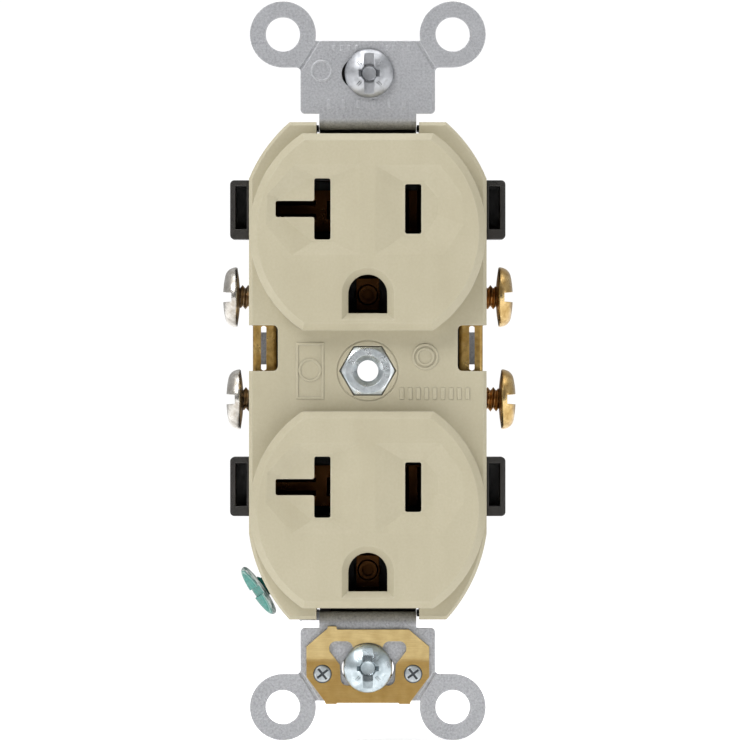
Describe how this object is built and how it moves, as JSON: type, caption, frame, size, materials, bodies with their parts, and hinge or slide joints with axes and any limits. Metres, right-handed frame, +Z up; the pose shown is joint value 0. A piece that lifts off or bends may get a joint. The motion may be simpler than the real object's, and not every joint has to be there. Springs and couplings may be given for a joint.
{
  "type": "duplex wall outlet",
  "caption": "Duplex receptacle with T-slot blade openings, wrap-around steel strap with break-off ears, side terminal screws, green ground screw and self-grounding clip.",
  "frame": {"origin": "axis of the cover-plate screw hole, in the plane of the strap ears' rear faces, midway between the two box screws", "axes": "+X to the right seen from the front, +Y into the wall, +Z up along the long side"},
  "size_m": [0.0413, 0.0302, 0.1036],
  "materials": {
    "ivory_plastic": "satin moulded nylon",
    "black_plastic": "matt moulded",
    "galvanised_steel": "galvanised, slightly mottled",
    "zinc_plated_steel": "bright zinc plate",
    "nickel_plate": "nickel plate on brass",
    "brass": "mill brass",
    "green_paint": "translucent green over zinc",
    "fibre": "vulcanised fibre"
  },
  "bodies": {
    "receptacle": {"front_cover": "ivory_plastic", "back_body": "black_plastic", "mounting_strap": "galvanised_steel", "center_rivet": "zinc_plated_steel", "hot_bus": "brass", "neutral_bus": "brass", "upper_ground_contact": "brass", "lower_ground_contact": "brass", "upper_ground_rivet": "brass", "lower_ground_rivet": "brass", "self_grounding_clip": "brass", "clip_rivet_left": "zinc_plated_steel", "clip_rivet_right": "zinc_plated_steel"},
    "upper_hot_clamp": {"upper_hot_clamp": "brass"},
    "upper_hot_screw": {"upper_hot_screw": "brass"},
    "upper_neutral_clamp": {"upper_neutral_clamp": "nickel_plate"},
    "upper_neutral_screw": {"upper_neutral_screw": "nickel_plate"},
    "lower_hot_clamp": {"lower_hot_clamp": "brass"},
    "lower_hot_screw": {"lower_hot_screw": "brass"},
    "lower_neutral_clamp": {"lower_neutral_clamp": "nickel_plate"},
    "lower_neutral_screw": {"lower_neutral_screw": "nickel_plate"},
    "ground_clamp": {"ground_clamp": "zinc_plated_steel"},
    "ground_screw": {"ground_screw": "green_paint"},
    "top_retaining_washer": {"top_retaining_washer": "fibre"},
    "top_mounting_screw": {"top_mounting_screw": "zinc_plated_steel"},
    "bottom_retaining_washer": {"bottom_retaining_washer": "fibre"},
    "bottom_mounting_screw": {"bottom_mounting_screw": "zinc_plated_steel"}
  },
  "joints": [
    {"name": "upper_hot_clamp_slide", "type": "slide", "parent": "receptacle", "child": "upper_hot_clamp", "axis": [1, 0, 0], "range_m": [-0.00193, 0.0018]},
    {"name": "upper_hot_screw_turn", "type": "hinge", "parent": "upper_hot_clamp", "child": "upper_hot_screw", "pos_m": [0.0181, 0.0105, 0.01038], "axis": [1, 0, 0], "range_deg": [-884.1, 825.2]},
    {"name": "upper_neutral_clamp_slide", "type": "slide", "parent": "receptacle", "child": "upper_neutral_clamp", "axis": [-1, 0, 0], "range_m": [-0.00189, 0.00184]},
    {"name": "upper_neutral_screw_turn", "type": "hinge", "parent": "upper_neutral_clamp", "child": "upper_neutral_screw", "pos_m": [-0.01806, 0.0105, 0.01038], "axis": [-1, 0, 0], "range_deg": [-866, 843.3]},
    {"name": "lower_hot_clamp_slide", "type": "slide", "parent": "receptacle", "child": "lower_hot_clamp", "axis": [1, 0, 0], "range_m": [-0.00233, 0.0014]},
    {"name": "lower_hot_screw_turn", "type": "hinge", "parent": "lower_hot_clamp", "child": "lower_hot_screw", "pos_m": [0.0185, 0.0105, -0.00402], "axis": [1, 0, 0], "range_deg": [-1065.5, 643.8]},
    {"name": "lower_neutral_clamp_slide", "type": "slide", "parent": "receptacle", "child": "lower_neutral_clamp", "axis": [-1, 0, 0], "range_m": [-0.00143, 0.0023]},
    {"name": "lower_neutral_screw_turn", "type": "hinge", "parent": "lower_neutral_clamp", "child": "lower_neutral_screw", "pos_m": [-0.0176, 0.0105, -0.00402], "axis": [-1, 0, 0], "range_deg": [-657.4, 1051.9]},
    {"name": "ground_clamp_slide", "type": "slide", "parent": "receptacle", "child": "ground_clamp", "axis": [-0.8103, -0.1822, -0.5569], "range_m": [-0.0023, 0.0014]},
    {"name": "ground_screw_turn", "type": "hinge", "parent": "ground_clamp", "child": "ground_screw", "pos_m": [-0.01493, 0.0094, -0.03067], "axis": [-0.8103, -0.1822, -0.5569], "range_deg": [-1051.9, 643.8]},
    {"name": "top_screw_shift", "type": "slide", "parent": "receptacle", "child": "top_retaining_washer", "axis": [1, 0, 0], "range_m": [-0.0021, 0.0017]},
    {"name": "top_screw_turn", "type": "hinge", "parent": "top_retaining_washer", "child": "top_mounting_screw", "pos_m": [0.0002, -0.00145, 0.04167], "axis": [0, 1, 0], "continuous": true},
    {"name": "bottom_screw_shift", "type": "slide", "parent": "receptacle", "child": "bottom_retaining_washer", "axis": [1, 0, 0], "range_m": [-0.0016, 0.0016]},
    {"name": "bottom_screw_turn", "type": "hinge", "parent": "bottom_retaining_washer", "child": "bottom_mounting_screw", "pos_m": [0, -0.002, -0.04167], "axis": [0, 1, 0], "continuous": true}
  ],
  "couplings": [
    {"joint": "upper_hot_screw_turn", "follows": "upper_hot_clamp_slide", "rad_per_m": 7913.3},
    {"joint": "upper_neutral_screw_turn", "follows": "upper_neutral_clamp_slide", "rad_per_m": 7913.3},
    {"joint": "lower_hot_screw_turn", "follows": "lower_hot_clamp_slide", "rad_per_m": 7913.3},
    {"joint": "lower_neutral_screw_turn", "follows": "lower_neutral_clamp_slide", "rad_per_m": 7913.3},
    {"joint": "ground_screw_turn", "follows": "ground_clamp_slide", "rad_per_m": 7913.3}
  ]
}
